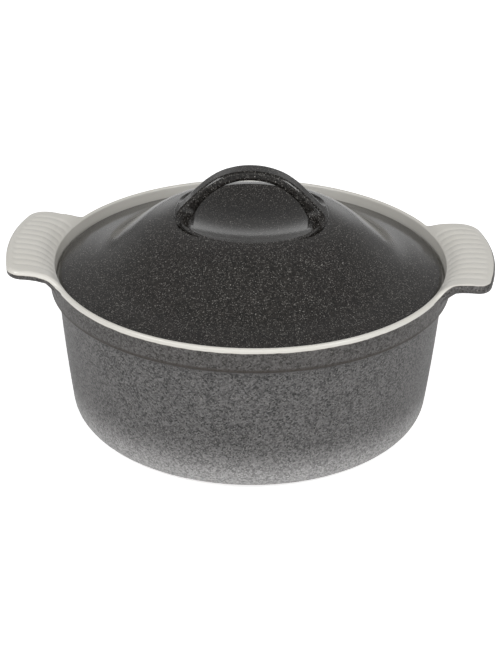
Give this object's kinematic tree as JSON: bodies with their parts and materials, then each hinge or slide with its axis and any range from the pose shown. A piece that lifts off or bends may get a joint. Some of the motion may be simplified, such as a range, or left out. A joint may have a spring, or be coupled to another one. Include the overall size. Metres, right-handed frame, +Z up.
{
  "type": "covered casserole dish",
  "caption": "Round stoneware casserole dish with ribbed lug handles, a collared rim and a drop-in lid that has a scooped crown and an arched strap handle.",
  "frame": {"origin": "on the bowl's axis, at the table that the foot ring stands on", "axes": "+Z up along the bowl's axis, +X through the right lug handle, +Y to the back; the loop handle runs along X"},
  "size_m": [0.3094, 0.255, 0.1655],
  "materials": {
    "dish_glaze": "satin speckled charcoal glaze outside, cream glaze inside",
    "lug_glaze": "cream glaze on top, charcoal glaze below",
    "lid_glaze": "gloss speckled charcoal glaze"
  },
  "bodies": {
    "dish": {"dish_body": "dish_glaze", "left_lug_handle": "lug_glaze", "right_lug_handle": "lug_glaze"},
    "lid": {"lid_shell": "lid_glaze", "lid_loop_handle": "lid_glaze"}
  },
  "joints": [
    {"name": "lid_lift", "type": "slide", "parent": "dish", "child": "lid", "axis": [0, 0, 1], "range_m": [0, 0.12]}
  ]
}
